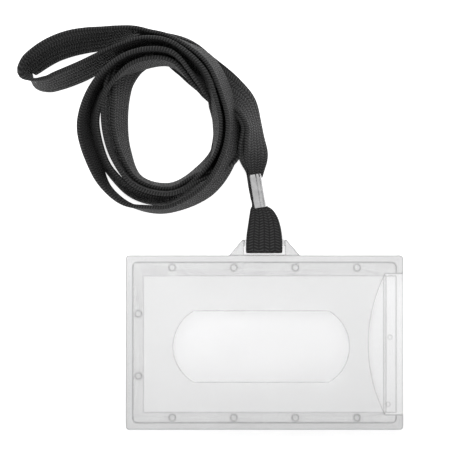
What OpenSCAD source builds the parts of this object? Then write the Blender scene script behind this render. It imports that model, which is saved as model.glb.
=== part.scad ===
// Lanyard badge holder: a rigid two-shell card holder on a coiled neck strap.
// Millimetres. The holder lies on its back. +X is the side where the card goes in,
// +Y is the strap's side, +Z is up through the front. The origin is the middle of the flat back.

/* [Holder] */
// Width of the holder, across the way the card slides
holder_w = 104; // [102:0.5:108]
// Height of the holder, without its tab
holder_h = 65.4; // [64.5:0.1:70]
// Width of the rim round the front shell
rim_w = 2.6; // [2:0.1:3]
// Thickness of the back plate
back_t = 1.4; // [1:0.1:1.8]
// Thickness of the front plate
front_t = 1.3; // [1:0.1:1.8]
// Depth of the card pocket
pocket_d = 1.8; // [1.2:0.1:2.4]

/* [Card pocket] */
// Length of the pocket, for a 90 mm card
pocket_w = 90.6; // [88:0.1:91]
// Height of the pocket, for a 50 mm card
pocket_h = 51.2; // [49:0.1:52]
// Height of the low lip at the card's way in
lip_h = 0.8; // [0.4:0.1:1.2]
// Radius of the thumb notch in the front
notch_r = 58.4; // [50:0.2:70]

/* [Window] */
// Length of the open window in the front
window_w = 66; // [50:1:70]
// Height of the open window
window_h = 26.6; // [20:0.2:32]
// Radius of the window's round ends
window_r = 15.3; // [14:0.1:18]

/* [Weld studs] */
// Radius of a stud
stud_r = 1.2; // [0.8:0.1:1.4]
// Distance between studs
stud_pitch = 23.1; // [20:0.1:24]

/* [Tab] */
// Width of the tab where it meets the holder
tab_base_w = 26.6; // [24:0.2:32]
// Width of the tab at its top
tab_top_w = 16.4; // [16:0.2:20]
// Length of the bar that the strap goes round
bar_l = 15.4; // [14.4:0.1:15.6]
// Radius of the bar
bar_r = 1.2; // [0.9:0.1:1.3]

/* [Strap] */
// Width of the strap
strap_w = 13.8; // [12:0.2:14]
// Thickness of the strap
strap_t = 1.4; // [1:0.1:1.6]
// Height of the coil
coil_h = 18.5; // [15:0.5:22]

/* [Crimp] */
// Length of the crimp sleeve
crimp_l = 12.6; // [11:0.2:14]
// Width of the crimp sleeve
crimp_w = 5.4; // [5:0.1:6.5]
// Thickness through the crimp sleeve
crimp_d = 4.2; // [3.8:0.1:5]
// Thickness of the sleeve's metal
crimp_wall = 0.5; // [0.3:0.1:0.7]

/* [Hidden] */
e = 0.01;

front_z = back_t + pocket_d;       // underside of the front plate
front_top = front_z + front_t;
rim_top = front_top + 0.3;
corner_r = 1.3;
pocket_x = -holder_w / 2 + 6.6;    // inner end of the pocket
pocket_y = -0.6;                   // the pocket's middle
stop_x = pocket_x + pocket_w;      // the ridge that keeps the card in
shell_gap = 0.05;

notch_x = holder_w / 2 - 13;       // the notch's deepest point
notch_h = 53;
window_x = -1.2;
window_y = -1.5;

stud_y = [28.1, -28.2];            // the rows of studs above and below the pocket
stud_x0 = -34.6;
side_stud_x = -47.3;

bar_y = holder_h / 2 + 4.7;        // the axis that the holder swings on
bar_z = 3.0;
tab_top_y = bar_y + bar_r;
slot_y = holder_h / 2 + 0.3;       // the holder's side of the slot

wrap_r = bar_r + 0.15;             // inside of the strap where it turns round the bar
loop_end_y = slot_y + 0.45;
crimp_at = [-1.9, 50.6];           // the sleeve's end nearest to the holder
crimp_turn = 9.4;
crimp_z = 2.6;

coil_c = [-35.5, 81.6];
// Radii of the coil's outside and of its open middle, every 30 degrees from +X
coil_out = [35.5, 31.5, 30.5, 34.5, 34.5, 34.5, 34.5, 34.5, 35, 33.5, 31.5, 29];
coil_in = [16.5, 16, 17.5, 22, 21.5, 18, 15.5, 17, 22.5, 22, 19.5, 18];

// The tail's route, from the coil and back to it: x, y, z and how far the top leans outward
tail_route = [
    [-46, 115.5, 8, 10], [-51, 117, 7.4, 22], [-56, 116.5, 6.6, 32], [-61, 115, 6.2, 39],
    [-67, 114, 6, 41], [-73, 112.5, 6, 41], [-79, 110.2, 6, 40], [-84, 107, 6.2, 36],
    [-88, 103.8, 6.6, 22], [-89.8, 101, 7, 6], [-88.4, 98.5, 7, -8], [-85, 97.2, 7, -18],
    [-81, 97.2, 6.8, -24], [-77, 98.4, 6.8, -28], [-72, 100.2, 6.8, -30], [-67, 102.4, 6.8, -30],
    [-62, 105, 7, -28], [-57, 107.8, 7.4, -22], [-52, 110, 8, -14]];
// The two ends, from the crimp to the coil: x, y, z, lean, width and thickness
near_route = [
    [-3.5, 63.5, 3.2, 90, 4.2, 1.4], [-3, 66, 3.4, 86, 8, 1.6], [-3.2, 69.5, 3.2, 84, 12, 1.5],
    [-3.8, 73, 3, 84, 13.6, 1.4], [-5, 77.5, 3, 86, 13.8, 1.4]];
far_route = [
    [-5.1, 63.7, 1.4, 90, 3, 1.2], [-6.2, 66.5, 4.6, 30, 8, 1.3], [-7.6, 69.8, 6.6, 8, 12, 1.4],
    [-9.2, 73.5, 7.4, 2, 13.6, 1.4], [-10.4, 77.5, 7.6, 0, 13.8, 1.4]];

function unit(v) = v / norm(v);
function lead(r, i) =
    unit([for (k = [0, 1]) r[min(i + 1, len(r) - 1)][k] - r[max(i - 1, 0)][k]]);
// Directions across the strap's width and through its thickness at point i
function across(r, i) =
    let (d = lead(r, i), s = sin(r[i][3]), c = cos(r[i][3])) [s * d.y, -s * d.x, c];
function through(r, i) = let (d = lead(r, i)) cross([d.x, d.y, 0], across(r, i));
// Eight points round the strap's flat section
function section(w, t) = let (a = w / 2, b = t / 2)
    [[a, -b / 2], [a, b / 2], [a - b, b], [b - a, b], [-a, b / 2], [-a, -b / 2], [b - a, -b], [a - b, -b]];

// The two triangles of a side between points a, b and the next ring's d, c
function pair(a, b, c, d) = [[a, d, c], [a, c, b]];

// A flat strap swept along a route
module strap(route, w, t) {
    n = len(route);
    points = [for (i = [0:n - 1], q = section(len(route[i]) > 4 ? route[i][4] : w,
                                              len(route[i]) > 4 ? route[i][5] : t))
        [route[i].x, route[i].y, route[i].z] + q.x * across(route, i) + q.y * through(route, i)];
    sides = [for (i = [0:n - 2], k = [0:7]) let (j = (k + 1) % 8, m = 8 * i)
        each pair(m + k, m + j, m + 8 + j, m + 8 + k)];
    first = [for (k = [1:6]) [0, k, k + 1]];
    last = [for (k = [1:6]) [8 * n - 8, 8 * n - 8 + k + 1, 8 * n - 8 + k]];
    polyhedron(points, concat(first, sides, last));
}

module rounded_box(w, h, t, r) {
    linear_extrude(t) rounded_sheet(w, h, r);
}

module rounded_sheet(w, h, r) {
    square([w - 2 * r, h], center = true);
    square([w, h - 2 * r], center = true);
    for (x = [-1, 1], y = [-1, 1])
        translate([x * (w / 2 - r), y * (h / 2 - r)]) circle(r, $fn = 32);
}

module at_studs() {
    for (y = stud_y, i = [0:3]) translate([stud_x0 + i * stud_pitch, y]) children();
    for (y = [10.8, -12.5]) translate([side_stud_x, y]) children();
}

// The card's way in, past the right-hand rim
module way_in(z0, z1) {
    translate([stop_x, pocket_y - notch_h / 2, z0]) cube([holder_w, notch_h, z1 - z0]);
}

module tab() {
    difference() {
        linear_extrude(rim_top - 0.6)
            polygon([[-tab_base_w / 2, holder_h / 2 - 1], [tab_base_w / 2, holder_h / 2 - 1],
                     [tab_base_w / 2, holder_h / 2], [tab_top_w / 2, tab_top_y],
                     [-tab_top_w / 2, tab_top_y], [-tab_base_w / 2, holder_h / 2]]);
        translate([-bar_l / 2, slot_y, -1]) cube([bar_l, 20, 10]);
    }
    translate([-bar_l / 2 - 0.4, bar_y, bar_z]) rotate([0, 90, 0])
        cylinder(r = bar_r, h = bar_l + 0.8, $fn = 48);
}

module back_shell() color([0.88, 0.89, 0.9, 0.5]) {
    difference() {
        union() {
            rounded_box(holder_w, holder_h, rim_top, corner_r);
            tab();
        }
        translate([0, 0, front_z])
            rounded_box(holder_w - 2 * rim_w, holder_h - 2 * rim_w, 10, 1.7);
        translate([pocket_x, pocket_y - pocket_h / 2, back_t])
            cube([holder_w / 2 - rim_w - pocket_x, pocket_h, 10]);
        way_in(back_t + lip_h, 10);
    }
    translate([stop_x - 0.4, pocket_y - pocket_h / 2 - e, back_t - e])
        cube([0.8, pocket_h + 2 * e, 0.5]);
    at_studs() translate([0, 0, front_z - 0.5]) cylinder(r = stud_r, h = front_t + 0.5, $fn = 32);
}

module front_shell() color([0.9, 0.91, 0.92, 0.5]) difference() {
    translate([0, 0, front_z])
        rounded_box(holder_w - 2 * rim_w - 2 * shell_gap, holder_h - 2 * rim_w - 2 * shell_gap,
                    front_t, 1.65);
    intersection() {
        translate([notch_x + notch_r, pocket_y, 0]) cylinder(r = notch_r, h = 10, $fn = 180);
        translate([0, pocket_y - notch_h / 2, 0]) cube([holder_w, notch_h, 10]);
    }
    translate([window_x, window_y, 0]) intersection() {
        for (s = [-1, 1]) translate([s * (window_w / 2 - window_r), 0, 0]) {
            cylinder(r = window_r, h = 10, $fn = 96);
            translate([-s * window_w / 4, 0, 5])
                cube([window_w / 2, 2 * window_r, 10], center = true);
        }
        translate([0, 0, 5]) cube([window_w, window_h, 10], center = true);
    }
    at_studs() cylinder(r = stud_r + shell_gap, h = 10, $fn = 32);
}

// The short loop of strap that joins the bar to the crimp, seen from its side
module loop_side() {
    r_out = wrap_r + strap_t;
    y_end = bar_y - loop_end_y - r_out;
    difference() {
        union() {
            translate([-y_end, 0]) circle(r_out, $fn = 64);
            translate([-y_end, -r_out]) square([crimp_at.y - bar_y + 1 + y_end, 2 * r_out]);
        }
        translate([-y_end, 0]) circle(wrap_r, $fn = 64);
        translate([-y_end, -wrap_r])
            square([crimp_at.y - bar_y - 3 + y_end, 2 * wrap_r]);
    }
}

module bar_loop() color([0.16, 0.16, 0.17]) {
    intersection() {
        translate([-20, bar_y, bar_z]) rotate([90, 0, 90]) linear_extrude(40) loop_side();
        translate([0, 0, -5]) linear_extrude(20)
            polygon([[-7, 30], [6.7, 30], [6.7, 40], [6.2, 43.4], [4.7, 47.4], [2.6, 49.8], [-0.5, 50.4],
                     [-5, 49.6], [-5.6, 45], [-7, 39]]);
    }
    in_crimp() translate([-1.9, -2, -1.5]) cube([3.8, crimp_l / 2 + 2, 3]);
}

module in_crimp() {
    translate([crimp_at.x, crimp_at.y, crimp_z]) rotate([0, 0, crimp_turn]) children();
}

module crimp_sleeve() color([0.75, 0.76, 0.78]) in_crimp()
    rotate([-90, 0, 0]) difference() {
        linear_extrude(crimp_l) rounded_sheet(crimp_w, crimp_d, 1);
        translate([0, 0, -1]) linear_extrude(crimp_l + 2)
            rounded_sheet(crimp_w - 2 * crimp_wall, crimp_d - 2 * crimp_wall, 0.6);
    }

module neck_end_near() color([0.2, 0.2, 0.21]) strap(near_route, strap_w, strap_t);

module neck_end_far() color([0.18, 0.18, 0.19]) strap(far_route, strap_w, strap_t);

module neck_tail() color([0.17, 0.17, 0.18]) strap(tail_route, strap_w, strap_t);

// Radius at an angle, on a smooth curve through the stated ones
function at_angle(list, a) =
    let (i = floor(a / 30), f = a / 30 - i, p = [for (k = [-1:2]) list[(i + k + 12) % 12]])
    p[1] + f * ((p[2] - p[0]) + f * ((2 * p[0] - 5 * p[1] + 4 * p[2] - p[3])
        + f * (3 * p[1] - p[0] - 3 * p[2] + p[3]))) / 2;

// The coil's outer shape, as one closed ring
module neck_coil() color([0.15, 0.15, 0.16]) {
    step = 6;
    n = 360 / step;
    ring = [for (i = [0:n - 1]) let (r0 = at_angle(coil_in, i * step), r1 = at_angle(coil_out, i * step))
        [[r0, 0.2], [r0, coil_h - 1], [r0 + 1, coil_h], [r1 - 1, coil_h], [r1, coil_h - 1], [r1, 0.2]]];
    points = [for (i = [0:n - 1], q = ring[i])
        [coil_c.x + q[0] * cos(i * step), coil_c.y + q[0] * sin(i * step), q[1]]];
    faces = [for (i = [0:n - 1], k = [0:5]) let (j = (k + 1) % 6, m = (i + 1) % n)
        each pair(6 * i + k, 6 * i + j, 6 * m + j, 6 * m + k)];
    polyhedron(points, faces);
}

back_shell();
front_shell();
bar_loop();
crimp_sleeve();
neck_end_near();
neck_end_far();
neck_coil();
neck_tail();
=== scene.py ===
import math

import bpy
import numpy as np
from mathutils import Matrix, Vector


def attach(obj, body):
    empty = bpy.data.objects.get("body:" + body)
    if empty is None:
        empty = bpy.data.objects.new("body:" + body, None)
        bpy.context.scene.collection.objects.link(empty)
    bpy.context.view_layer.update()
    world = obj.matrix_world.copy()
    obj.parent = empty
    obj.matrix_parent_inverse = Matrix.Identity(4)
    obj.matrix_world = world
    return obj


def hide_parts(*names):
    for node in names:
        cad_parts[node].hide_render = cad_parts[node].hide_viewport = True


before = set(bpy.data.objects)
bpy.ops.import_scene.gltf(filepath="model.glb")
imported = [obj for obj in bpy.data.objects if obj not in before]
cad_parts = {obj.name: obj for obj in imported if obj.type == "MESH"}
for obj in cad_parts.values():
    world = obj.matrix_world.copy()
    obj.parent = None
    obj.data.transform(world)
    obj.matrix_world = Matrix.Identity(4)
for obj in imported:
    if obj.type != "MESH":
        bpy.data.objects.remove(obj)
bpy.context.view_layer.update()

MM = 0.001

# ---------------------------------------------------------------- camera
VIEW_CENTRE = (-0.0133, 0.0426)
VIEW_WIDTH = 0.172
VIEW_HEIGHT = 3.0
SENSOR = 36.0

cam_data = bpy.data.cameras.new("photo_camera")
cam_data.sensor_width = SENSOR
cam_data.lens = SENSOR * VIEW_HEIGHT / VIEW_WIDTH
cam_data.clip_start = 0.05
cam_data.clip_end = 20.0
camera = bpy.data.objects.new("photo_camera", cam_data)
camera.location = (VIEW_CENTRE[0], VIEW_CENTRE[1], VIEW_HEIGHT)
bpy.context.scene.collection.objects.link(camera)
bpy.context.scene.camera = camera


# ---------------------------------------------------------------- helpers
def add_mesh(name, verts, faces, material, smooth=True):
    mesh = bpy.data.meshes.new(name)
    mesh.from_pydata([tuple(v) for v in verts], [], faces)
    mesh.validate()
    mesh.update()
    for poly in mesh.polygons:
        poly.use_smooth = smooth
    obj = bpy.data.objects.new(name, mesh)
    bpy.context.scene.collection.objects.link(obj)
    if material is not None:
        mesh.materials.append(material)
    return obj


class Nodes:
    """A small helper around one material's node tree."""

    def __init__(self, name):
        self.mat = bpy.data.materials.new(name)
        self.mat.use_nodes = True
        self.tree = self.mat.node_tree
        self.bsdf = self.tree.nodes["Principled BSDF"]

    def add(self, kind, **settings):
        node = self.tree.nodes.new(kind)
        for key, value in settings.items():
            setattr(node, key, value)
        return node

    def link(self, a, b):
        self.tree.links.new(a, b)

    def set(self, **values):
        for key, value in values.items():
            self.bsdf.inputs[key.replace("_", " ")].default_value = value

    def math(self, operation, a, b=None, c=None):
        node = self.add("ShaderNodeMath", operation=operation)
        for i, value in enumerate((a, b, c)):
            if value is None:
                continue
            if isinstance(value, (int, float)):
                node.inputs[i].default_value = value
            else:
                self.link(value, node.inputs[i])
        return node.outputs[0]

    def noise(self, scale, detail=2.0, rough=0.5, vector=None, name="Fac"):
        node = self.add("ShaderNodeTexNoise")
        node.inputs["Scale"].default_value = scale
        node.inputs["Detail"].default_value = detail
        node.inputs["Roughness"].default_value = rough
        if vector is not None:
            self.link(vector, node.inputs["Vector"])
        return node.outputs[name]

    def ramp(self, value, stops):
        node = self.add("ShaderNodeValToRGB")
        ramp = node.color_ramp
        while len(ramp.elements) < len(stops):
            ramp.elements.new(0.5)
        for element, (at, colour) in zip(ramp.elements, stops):
            element.position = at
            element.color = (*colour, 1.0)
        self.link(value, node.inputs[0])
        return node.outputs[0]

    def bump(self, height, distance, strength=1.0, normal=None):
        node = self.add("ShaderNodeBump")
        node.inputs["Distance"].default_value = distance
        node.inputs["Strength"].default_value = strength
        self.link(height, node.inputs["Height"])
        if normal is not None:
            self.link(normal, node.inputs["Normal"])
        return node.outputs[0]


# ---------------------------------------------------------------- strap route
STRAP_W = 13.8
STRAP_T = 1.6
COIL_X = -35.5
COIL_Y = 81.6

# Many strands of this route cut through each other. Rows from inside the crimp, in millimetres and
# degrees: x, y, z, lean from upright, width, thickness
NEAR_END = [
    (-2.6, 54.0, 3.3, 90, 5.2, 1.5),
    (-3.7, 60.5, 3.3, 90, 5.2, 1.5),
    (-3.1, 64.0, 3.7, 97, 5.8, 2.3),
    (-3.1, 66.4, 4.3, 110, 7.6, 2.2),
    (-3.2, 69.0, 5.3, 126, 10.4, 1.8),
    (-3.3, 72.2, 6.5, 141, 13.2, 1.6),
    (-3.7, 75.8, 6.9, 149, 13.8, 1.6),
]
# counter-clockwise turns: angle from +X, radius, z, lean outward
NEAR_TURNS = [
    (0, 31.2, 7.4, 156), (15, 29.2, 6.8, 142), (30, 25.5, 6.4, 118),
    (60, 23.6, 2.7, 90), (75, 25.6, 3.5, 80), (90, 28.0, 6.1, 54),
    (105, 29.1, 5.1, 60), (120, 27.8, 5.6, 54), (135, 24.6, 6.6, 38),
    (150, 21.3, 7.0, 27), (180, 18.9, 6.9, 24), (210, 19.6, 7.1, 16),
    (240, 23.2, 7.2, 7), (270, 23.1, 7.2, 7), (300, 20.4, 7.2, 9),
    (330, 22.9, 6.5, 50), (360, 23.2, 2.7, 90), (390, 22.0, 6.5, 128),
    (405, 20.6, 9.2, 152), (420, 20.3, 11.2, 172), (450, 26.7, 13.4, 188),
    (480, 29.8, 11.4, 190), (510, 30.9, 9.0, 195), (540, 32.3, 7.6, 196),
    (570, 31.8, 7.9, 198), (585, 33.3, 7.7, 189), (600, 33.7, 7.6, 184),
    (615, 32.5, 8.6, 174), (630, 31.4, 9.8, 172), (660, 28.1, 10.6, 161),
    (690, 25.2, 12.6, 157), (720, 23.8, 12.4, 161), (750, 24.2, 12.8, 163),
    (780, 28.5, 12.0, 168), (810, 32.9, 10.4, 181),
]
# the loop that leaves the coil: x, y, z, lean
TAIL = [
    (-43, 116.2, 8.2, 4), (-49, 116.5, 7.4, 14), (-55, 115.3, 6.8, 27),
    (-61, 114.0, 6.3, 37), (-67, 113.3, 6.0, 41), (-73, 112.1, 6.0, 43),
    (-79, 109.9, 6.0, 42), (-84.2, 106.8, 6.1, 40), (-87.9, 103.7, 6.3, 35),
    (-89.4, 101.3, 6.7, 23), (-87.8, 99.2, 7.1, 6), (-85.1, 97.3, 7.2, -13),
    (-81, 97.0, 6.9, -23), (-77, 98.3, 6.8, -28), (-72, 100.2, 6.8, -30),
    (-67, 102.4, 6.8, -30), (-62, 105.0, 7.2, -28), (-57, 107.8, 8.0, -24),
    (-51.5, 110.6, 9.2, -18), (-45, 112.9, 10.6, -12),
]
# clockwise turns: angle, radius, z, lean outward
FAR_TURNS = [
    (810, 30.5, 12.6, 6), (780, 23.9, 12.8, 7), (750, 18.8, 13.4, 10),
    (720, 18.0, 10.8, 11), (690, 19.7, 10.4, 4), (660, 23.2, 8.6, -11),
    (630, 28.0, 7.2, -10), (615, 28.8, 7.2, -12), (600, 28.8, 7.2, -13),
    (585, 28.3, 7.1, -10), (570, 28.0, 7.1, -9), (540, 28.2, 7.3, -12), (525, 28.0, 7.8, -10),
    (510, 27.5, 9.0, -7), (480, 25.4, 10.6, 14),
    (450, 23.4, 10.4, 8), (420, 18.2, 8.0, -6), (405, 18.9, 7.1, -22),
    (390, 21.5, 5.4, -50), (360, 23.1, 1.5, -90), (330, 23.2, 5.4, -130),
    (300, 22.1, 8.0, -164), (270, 25.1, 11.6, -172), (240, 25.5, 11.6, -172),
    (210, 23.6, 9.9, -170), (180, 23.7, 9.6, -170), (150, 26.0, 7.1, -164),
    (120, 28.6, 4.5, -124), (105, 29.5, 3.9, -118), (90, 28.5, 4.8, -127),
    (75, 25.7, 2.0, -100), (60, 23.5, 1.0, -90), (30, 24.8, 4.9, -64),
    (15, 27.8, 6.2, -40), (0, 29.8, 7.0, -24),
]
# back into the crimp
FAR_END = [
    (-5.4, 74.0, 6.5, 216, 13.8, 1.6),
    (-5.2, 70.4, 5.4, 228, 12.0, 1.6),
    (-4.7, 67.2, 3.6, 248, 8.4, 1.9),
    (-4.2, 64.4, 2.1, 264, 5.8, 2.0),
    (-3.7, 60.0, 1.8, 270, 5.2, 1.5),
]


def turn_rows(table, side, flip):
    """The rows of a table of turns; side and flip turn its outward lean into the route's."""
    rows = []
    for angle, r, z, lean in table:
        a = math.radians(angle)
        x = COIL_X + r * math.cos(a)
        y = COIL_Y + r * math.sin(a)
        rows.append((x, y, z, side * lean + flip, STRAP_W, STRAP_T))
    return rows


def smooth_line(rows, per_span):
    """A smooth line through the rows, with every column eased the same way."""
    p = np.array(rows, float)
    gap = np.linalg.norm(np.diff(p[:, :3], axis=0), axis=1) ** 0.5
    slope = np.diff(p, axis=0) / gap[:, None]
    tangent = np.empty_like(p)
    tangent[0], tangent[-1] = slope[0], slope[-1]
    share = (gap[1:] / (gap[:-1] + gap[1:]))[:, None]
    tangent[1:-1] = share * slope[:-1] + (1 - share) * slope[1:]
    out = []
    for i, g in enumerate(gap):
        for k in range(per_span):
            u = k / per_span
            out.append(
                (2 * u**3 - 3 * u**2 + 1) * p[i]
                + (u**3 - 2 * u**2 + u) * g * tangent[i]
                + (3 * u**2 - 2 * u**3) * p[i + 1]
                + (u**3 - u**2) * g * tangent[i + 1]
            )
    out.append(p[-1])
    return np.array(out)


def even_line(line, step):
    """The same line in even steps."""
    run = np.linalg.norm(np.diff(line[:, :3], axis=0), axis=1)
    at = np.concatenate([[0], np.cumsum(run)])
    want = np.linspace(0, at[-1], math.ceil(at[-1] / step) + 1)
    cols = [np.interp(want, at, line[:, k]) for k in range(line.shape[1])]
    return np.stack(cols, axis=1)


route_rows = (
    NEAR_END
    + turn_rows(NEAR_TURNS, 1, 0)
    + [(x, y, z, lean + 180, STRAP_W, STRAP_T) for x, y, z, lean in TAIL]
    + turn_rows(FAR_TURNS, -1, 180)
    + FAR_END
)
RING_STEP = 0.6
ROUTE_STEPS = 24
route = even_line(smooth_line(route_rows, ROUTE_STEPS), RING_STEP)

# ---------------------------------------------------------------- strap mesh
COLUMNS = 6
COLUMN_DEPTH = 0.11
FACE_STEPS = 36
EDGE_STEPS = 7
EDGE_WEAVE = 0.16
RIDGE_ROUND = 0.6
UV_MM = 10


def woven_section():
    """Half of the strap's section, across from -1 to 1 and out from 0 to 1.

    It has shallow columns between rounded edges.
    """
    corner = 1 - STRAP_T / STRAP_W
    across, out, weave = [], [], []
    for s in np.linspace(-1, 1, FACE_STEPS + 1):
        ridge = abs(math.sin(math.pi * COLUMNS * (s + 1) / 2)) ** RIDGE_ROUND
        across.append(s * corner)
        out.append(1 - 2 * COLUMN_DEPTH / STRAP_T * (1 - ridge))
        weave.append((s + 1) / 2)
    for k in range(1, EDGE_STEPS + 1):
        a = math.pi / 2 - math.pi * k / (EDGE_STEPS + 1)
        across.append(corner + (1 - corner) * math.cos(a))
        out.append(math.sin(a))
        weave.append(1 + EDGE_WEAVE * k / (EDGE_STEPS + 1))
    return np.array(across), np.array(out), np.array(weave)


def sweep_strap(name, centre, wide, widths, thicks, material):
    """A woven strap along centre, wide across.

    Its UV map holds the weave's place: across the columns, and along in units of UV_MM.
    """
    way = np.gradient(centre, axis=0)
    way /= np.linalg.norm(way, axis=1)[:, None]
    out = np.cross(wide, way)
    out /= np.linalg.norm(out, axis=1)[:, None]
    half_across, half_out, half_weave = woven_section()
    across = np.concatenate([half_across, -half_across])
    thick = np.concatenate([half_out, -half_out])
    weave = np.concatenate([half_weave, half_weave])
    n, rings = len(across), len(centre)
    verts = (
        centre[:, None, :]
        + wide[:, None, :] * (across[None, :, None] * widths[:, None, None] / 2)
        + out[:, None, :] * (thick[None, :, None] * thicks[:, None, None] / 2)
    ).reshape(-1, 3)
    faces = []
    for i in range(rings - 1):
        for j in range(n):
            k = (j + 1) % n
            faces.append((i * n + j, i * n + k, (i + 1) * n + k, (i + 1) * n + j))
    faces.append(tuple(range(n - 1, -1, -1)))
    faces.append(tuple((rings - 1) * n + j for j in range(n)))
    obj = add_mesh(name, verts * MM, faces, material)
    mesh = obj.data
    run = np.linalg.norm(np.diff(centre, axis=0), axis=1)
    run = np.concatenate([[0], np.cumsum(run)])
    loops = np.zeros(len(mesh.loops), dtype=np.int32)
    mesh.loops.foreach_get("vertex_index", loops)
    coords = np.stack([weave[loops % n], run[loops // n] / UV_MM], axis=1)
    mesh.uv_layers.new(name="weave").data.foreach_set("uv", coords.ravel().astype(np.float32))
    return obj


def leaning(line):
    """The strap's width direction on a route that carries its lean from upright."""
    way = np.gradient(line[:, :2], axis=0)
    way /= np.linalg.norm(way, axis=1)[:, None]
    lean = np.radians(line[:, 3])
    return np.stack(
        [np.sin(lean) * way[:, 1], -np.sin(lean) * way[:, 0], np.cos(lean)], axis=1
    )


RIB_PITCH = 1.0
RIB_SLANT = 4.4
RIB_SHARE = 0.85


def webbing_material():
    m = Nodes("black_webbing")
    m.set(Roughness=0.72, Sheen_Weight=0.06, Sheen_Roughness=0.45, Specular_IOR_Level=0.35)
    uv = m.add("ShaderNodeUVMap", uv_map="weave")
    split = m.add("ShaderNodeSeparateXYZ")
    m.link(uv.outputs[0], split.inputs[0])
    u, v = split.outputs[0], split.outputs[1]
    column = m.math("MULTIPLY", u, float(COLUMNS))
    slant = m.math("MULTIPLY", m.math("PINGPONG", column, 1.0), RIB_SLANT)
    rib = m.math("MULTIPLY_ADD", v, 2 * math.pi * UV_MM / RIB_PITCH, slant)
    yarn = m.math("MULTIPLY_ADD", m.math("SINE", rib), 0.5, 0.5)
    side = m.math("ABSOLUTE", m.math("SUBTRACT", m.math("FRACT", column), 0.5))
    body = m.math("MINIMUM", m.math("MULTIPLY", m.math("SUBTRACT", 0.56, side), 5.0), 1.0)
    ribs = m.math("MULTIPLY", yarn, body)
    height = m.math("MULTIPLY_ADD", ribs, RIB_SHARE, m.math("MULTIPLY", body, 1 - RIB_SHARE))
    place = m.add("ShaderNodeTexCoord").outputs["Object"]
    fuzz = m.noise(2600.0, 3.0, 0.7, place)
    wear = m.noise(60.0, 2.0, 0.5, place)
    # painted light: the rib height makes the rib tops lighter, a painted highlight, and the gaps
    # between ribs and between columns darker, painted shade; the wear noise is random tone of the yarn
    tone_with_painted_light = m.math("MULTIPLY_ADD", wear, 0.25, m.math("MULTIPLY", height, 0.75))
    colour = m.ramp(tone_with_painted_light, [
        (0.15, (0.0008, 0.0008, 0.0008)),
        (0.5, (0.0055, 0.0055, 0.0057)),
        (0.85, (0.04, 0.04, 0.0406)),
    ])
    m.link(colour, m.bsdf.inputs["Base Color"])
    fine = m.bump(fuzz, 0.00005, 0.5)
    m.link(m.bump(height, 0.0003, 1.0, fine), m.bsdf.inputs["Normal"])
    return m.mat


webbing = webbing_material()
strap = sweep_strap("neck_strap", route[:, :3], leaning(route), route[:, 4], route[:, 5], webbing)
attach(strap, "lanyard")
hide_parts("neck_end_near", "neck_end_far", "neck_coil", "neck_tail")

# ---------------------------------------------------------------- loop on the bar
LOOP_END_Y = 33.45
BAR_Z = 3.0
WRAP_R = 1.35
LAYER_T = 1.4
WRAP_X = -0.1
WRAP_W = 13.7
WRAP_STEPS = 8
LOOP_RING_STEP = 0.35
LOOP_STEPS = 16
# how far the sleeve, and the strap in it, is turned from the Y axis, and where the strap starts to turn
CRIMP_TURN = 9.4
TURN_FROM_Y = 50.5
TURN_OVER = 2
# front layer, from the crimp to the bar: x, y, z, width
LOOP_FRONT = [
    (-2.75, 55.3, 3.3, 5.2), (-2.15, 51.5, 3.4, 5.2), (-1.25, 50.1, 3.6, 8.0),
    (-0.5, 47.5, 4.2, 10.4), (-0.15, 44.1, 4.8, 12.1), (-0.1, 40.0, 5.05, 13.35),
]
# back layer, from the bar to the crimp
LOOP_BACK = [
    (-0.1, 40.5, 1.0, 13.2), (-0.15, 44.1, 0.95, 12.0), (-0.5, 47.5, 1.1, 10.2),
    (-1.25, 50.0, 1.5, 7.6), (-2.1, 51.4, 1.7, 5.0), (-2.75, 55.0, 1.8, 5.2),
]


def loop_route():
    """Rows over the bar, round it and back: x, y, z, width."""
    rows = list(LOOP_FRONT)
    reach = WRAP_R + LAYER_T / 2
    turn_y = LOOP_END_Y + reach + LAYER_T / 2
    for k in range(WRAP_STEPS + 1):
        a = math.pi / 2 + math.pi * k / WRAP_STEPS
        rows.append((WRAP_X, turn_y + reach * math.cos(a), BAR_Z + reach * math.sin(a), WRAP_W))
    return rows + LOOP_BACK


line = even_line(smooth_line(loop_route(), LOOP_STEPS), LOOP_RING_STEP)
turned = np.clip((line[:, 1] - TURN_FROM_Y) / TURN_OVER, 0, 1) * math.radians(CRIMP_TURN)
across = np.stack([np.cos(turned), np.sin(turned), 0 * turned], axis=1)
bar_strap = sweep_strap(
    "bar_strap_loop", line[:, :3], across, line[:, 3], np.full(len(line), LAYER_T), webbing
)
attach(bar_strap, "lanyard")
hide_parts("bar_loop")

# ---------------------------------------------------------------- crimp
CRIMP_END = (-1.95, 50.6)
CRIMP_L = 12.6
CRIMP_W = 5.7
CRIMP_D = 4.2
CRIMP_Z = 2.6
CRIMP_WALL = 0.5
CRIMP_RINGS = 40
LIP_L = 0.5
LIP_IN = 0.015
WAIST_IN = 0.01
CRIMP_FULL = 1.02


def metal_material():
    m = Nodes("nickel_plate")
    m.set(Metallic=1.0)
    place = m.add("ShaderNodeTexCoord").outputs["Object"]
    stretch = m.add("ShaderNodeMapping")
    stretch.inputs["Rotation"].default_value = (0, 0, math.radians(-CRIMP_TURN))
    stretch.inputs["Scale"].default_value = (1.0, 0.06, 1.0)
    m.link(place, stretch.inputs["Vector"])
    streak = m.noise(3200.0, 4.0, 0.65, stretch.outputs[0])
    cloud = m.noise(420.0, 3.0, 0.6, place)
    rough = m.math("MULTIPLY_ADD", streak, 0.12, m.math("MULTIPLY_ADD", cloud, 0.14, 0.12))
    m.link(rough, m.bsdf.inputs["Roughness"])
    colour = m.ramp(cloud, [(0.3, (0.74, 0.74, 0.745)), (0.7, (0.9, 0.9, 0.905))])
    m.link(colour, m.bsdf.inputs["Base Color"])
    m.link(m.bump(streak, 0.000004, 0.3), m.bsdf.inputs["Normal"])
    return m.mat


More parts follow.
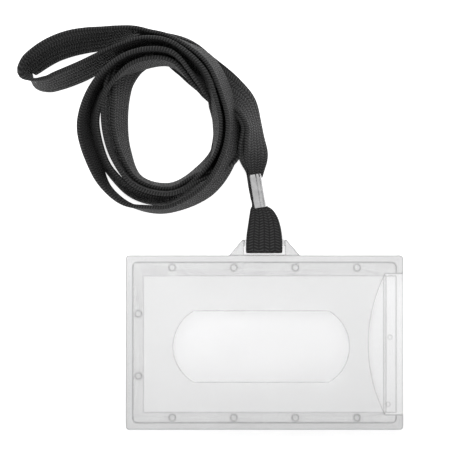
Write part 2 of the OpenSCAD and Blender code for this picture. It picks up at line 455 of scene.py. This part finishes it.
def crimp_mesh():
    """A sheet bent round the straps and pressed flat, open at the upper left, where strap shows."""
    half_w, half_d = CRIMP_W / 2, CRIMP_D / 2
    # across and up, from the lower left round the right side to the pressed top
    outer = np.array([
        (-half_w + 0.35, -half_d + 0.1), (-half_w + 1.0, -half_d), (half_w - 1.0, -half_d),
        (half_w - 0.3, -half_d + 0.3), (half_w, -half_d + 1.0), (half_w, half_d - 0.9),
        (half_w - 0.12, half_d - 0.4), (half_w - 0.4, half_d - 0.1), (half_w - 0.75, half_d - 0.1),
        (half_w - 0.95, half_d - 0.5), (half_w - 1.15, half_d - 0.1), (1.1, half_d - 0.02),
        (0.82, half_d - 0.12), (0.65, half_d - 0.5), (0.48, half_d - 0.1), (0.2, half_d),
        (-0.6, half_d), (-1.3, half_d - 0.04), (-1.6, half_d - 0.18), (-1.72, half_d - 0.42),
    ])
    wall = np.array([1 - 2 * CRIMP_WALL / CRIMP_W, 1 - 2 * CRIMP_WALL / CRIMP_D])
    inner = outer * wall
    inner[0] = (-half_w + 0.35, -half_d + 0.1 + CRIMP_WALL)
    inner[-1] = (-1.55, half_d - 0.62)
    ring = np.concatenate([outer, inner[::-1]])
    a = math.radians(CRIMP_TURN)
    along = np.array([-math.sin(a), math.cos(a)])
    side = np.array([math.cos(a), math.sin(a)])
    verts, n = [], len(ring)
    ys = np.linspace(0, CRIMP_L, CRIMP_RINGS)
    for y in ys:
        lip = max(0.0, 1 - min(y, CRIMP_L - y) / LIP_L)
        pinch = CRIMP_FULL - WAIST_IN * math.sin(math.pi * y / CRIMP_L) - LIP_IN * lip**2
        for x, z in ring:
            flat = side * x * pinch + along * y
            verts.append((CRIMP_END[0] + flat[0], CRIMP_END[1] + flat[1], CRIMP_Z + z * pinch))
    faces, half = [], len(outer)
    for i in range(len(ys) - 1):
        for j in range(n):
            k = (j + 1) % n
            faces.append((i * n + k, i * n + j, (i + 1) * n + j, (i + 1) * n + k))
    last = (len(ys) - 1) * n
    for j in range(half - 1):
        faces.append((j, j + 1, n - 2 - j, n - 1 - j))
        faces.append((last + n - 1 - j, last + n - 2 - j, last + j + 1, last + j))
    return np.array(verts) * MM, faces


verts, faces = crimp_mesh()
crimp = add_mesh("strap_crimp", verts, faces, metal_material(), smooth=False)
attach(crimp, "lanyard")
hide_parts("crimp_sleeve")


# ---------------------------------------------------------------- holder
EDGE_R = 0.0008
MARK_R = 0.0008
MARK_LINE = 0.0004
MARK_PAINTED_SHADE = 0.3
# where the moulding pins left their marks, drawn as thin rings of painted shade
FRONT_MARKS = [(0.0137, 0.017, 0.0045), (0.0389, 0.0204, 0.0045), (0.0411, -0.0235, 0.0045)]
BACK_MARKS = [(0.0471, 0.002, 0.0014), (0.0464, -0.0232, 0.0014)]
# heights between which painted shade darkens the plastic's colour on its raised parts
PAINTED_SHADE_FROM_Z = 0.0033
PAINTED_SHADE_TO_Z = 0.0042
EDGE_GAIN = 7.0


def frosted_material(name, clear, solid, rough, tint, scratch, painted_edge_shade, painted_raised_shade, marks):
    """Moulded plastic with painted shade: darker at its rounded edges, on its raised parts and in thin
    rings at the pin marks.
    """
    m = Nodes(name)
    m.set(IOR=1.49, Transmission_Weight=clear, Alpha=solid)
    place = m.add("ShaderNodeTexCoord").outputs["Object"]
    haze = m.noise(55.0, 3.0, 0.5, place)
    grain = m.noise(4200.0, 2.0, 0.6, place)
    # painted shade: the colour darkens at the rounded edges, where the bevelled normal turns away from
    # the true normal
    bevel = m.add("ShaderNodeBevel", samples=6)
    bevel.inputs["Radius"].default_value = EDGE_R
    flat = m.add("ShaderNodeNewGeometry")
    turn = m.add("ShaderNodeVectorMath", operation="DOT_PRODUCT")
    m.link(bevel.outputs[0], turn.inputs[0])
    m.link(flat.outputs["True Normal"], turn.inputs[1])
    off = m.math("SUBTRACT", 1.0, turn.outputs["Value"])
    edge = m.math("MINIMUM", m.math("MULTIPLY", off, EDGE_GAIN), 1.0)
    split = m.add("ShaderNodeSeparateXYZ")
    m.link(place, split.inputs[0])
    # painted shade on the raised parts, growing from the lower height to the upper one
    above = m.math("SUBTRACT", split.outputs[2], PAINTED_SHADE_FROM_Z)
    over = m.math("MULTIPLY", above, 1 / (PAINTED_SHADE_TO_Z - PAINTED_SHADE_FROM_Z))
    over = m.math("MINIMUM", m.math("MAXIMUM", over, 0.0), 1.0)
    tone_with_painted_light = m.math("MULTIPLY_ADD", edge, -painted_edge_shade, m.math("MULTIPLY_ADD", haze, 0.05, 0.95))
    tone_with_painted_light = m.math("MULTIPLY_ADD", over, -painted_raised_shade, tone_with_painted_light)
    # painted shade: a thin dark ring round each pin mark, for the shading of its small step
    for x, y, level in marks:
        away = m.add("ShaderNodeVectorMath", operation="DISTANCE")
        m.link(place, away.inputs[0])
        away.inputs[1].default_value = (x, y, level)
        rim = m.math("ABSOLUTE", m.math("SUBTRACT", away.outputs["Value"], MARK_R))
        rim = m.math("MULTIPLY", rim, 1 / MARK_LINE)
        ring = m.math("MAXIMUM", m.math("SUBTRACT", 1.0, rim), 0.0)
        tone_with_painted_light = m.math("MULTIPLY_ADD", ring, -MARK_PAINTED_SHADE, tone_with_painted_light)
    colour = m.ramp(tone_with_painted_light, [(0.0, (0, 0, 0)), (1.0, tint)])
    m.link(colour, m.bsdf.inputs["Base Color"])
    m.link(m.math("MULTIPLY_ADD", haze, 0.12, rough - 0.06), m.bsdf.inputs["Roughness"])
    lines = m.add("ShaderNodeMapping")
    lines.inputs["Rotation"].default_value = (0, 0, math.radians(3))
    lines.inputs["Scale"].default_value = (0.05, 1.0, 1.0)
    m.link(place, lines.inputs["Vector"])
    fine = m.noise(1500.0, 3.0, 0.6, lines.outputs[0])
    height = m.math("MULTIPLY_ADD", fine, scratch, m.math("MULTIPLY", grain, 1 - scratch))
    m.link(m.bump(height, 0.00004, 0.5, bevel.outputs[0]), m.bsdf.inputs["Normal"])
    return m.mat


# both shells get painted shade at their edges and pin marks, the back shell also on its raised parts
back_plastic = frosted_material(
    "frosted_back_plastic", clear=0.88, solid=1.0, rough=0.14, tint=(0.975, 0.975, 0.977),
    scratch=0.6, painted_edge_shade=0.5, painted_raised_shade=0.26, marks=BACK_MARKS,
)
# a second refracting shell would render very dark where it touches the first one
front_plastic = frosted_material(
    "frosted_front_plastic", clear=0.0, solid=0.27, rough=0.4, tint=(0.85, 0.85, 0.852),
    scratch=0.25, painted_edge_shade=1.0, painted_raised_shade=0.0, marks=FRONT_MARKS,
)
for node, mat in (("back_shell", back_plastic), ("front_shell", front_plastic)):
    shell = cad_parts[node]
    for slot in shell.material_slots:
        slot.material = mat

# ---------------------------------------------------------------- stage
FLOOR_HALF = 2.0
GLOW_LOW = 0.39
GLOW_HIGH = 0.95
GLOW_FROM = -0.035
GLOW_TO = 0.11
GLOW_SLANT = -0.25
FLOOR_Z = -0.0001
white = Nodes("light_table")
white.set(Base_Color=(0.8, 0.8, 0.805, 1), Roughness=0.9, Emission_Color=(1, 1, 1, 1))
spread = white.add("ShaderNodeMapRange")
spread.inputs["From Min"].default_value = GLOW_FROM
spread.inputs["From Max"].default_value = GLOW_TO
spread.inputs["To Min"].default_value = GLOW_LOW
spread.inputs["To Max"].default_value = GLOW_HIGH
across_table = white.add("ShaderNodeSeparateXYZ")
white.link(white.add("ShaderNodeTexCoord").outputs["Object"], across_table.inputs[0])
glow_line = white.math(
    "MULTIPLY_ADD", across_table.outputs[0], GLOW_SLANT, across_table.outputs[1]
)
white.link(glow_line, spread.inputs[0])
white.link(spread.outputs[0], white.bsdf.inputs["Emission Strength"])
floor = add_mesh(
    "floor",
    [(-FLOOR_HALF, -FLOOR_HALF, FLOOR_Z), (FLOOR_HALF, -FLOOR_HALF, FLOOR_Z),
     (FLOOR_HALF, FLOOR_HALF, FLOOR_Z), (-FLOOR_HALF, FLOOR_HALF, FLOOR_Z)],
    [(0, 1, 2, 3)], white.mat,
)


def area_light(name, place, target, size, power):
    data = bpy.data.lights.new(name, "AREA")
    data.shape = "RECTANGLE"
    data.size, data.size_y = size
    data.energy = power
    obj = bpy.data.objects.new(name, data)
    obj.location = place
    way = Vector(target) - Vector(place)
    obj.rotation_euler = way.to_track_quat("-Z", "Y").to_euler()
    bpy.context.scene.collection.objects.link(obj)
    return obj


area_light("key", place=(-0.35, 0.9, 1.1), target=(-0.01, 0.04, 0), size=(1.0, 0.8), power=11)
area_light("side", place=(0.4, -0.9, 0.5), target=(-0.02, 0.06, 0), size=(0.5, 0.5), power=5)
WORLD_GLOW = 0.55
world = bpy.data.worlds.new("studio")
world.use_nodes = True
world.node_tree.nodes["Background"].inputs["Color"].default_value = (1, 1, 1, 1)
world.node_tree.nodes["Background"].inputs["Strength"].default_value = WORLD_GLOW
bpy.context.scene.world = world
bpy.context.scene.view_settings.view_transform = "Standard"
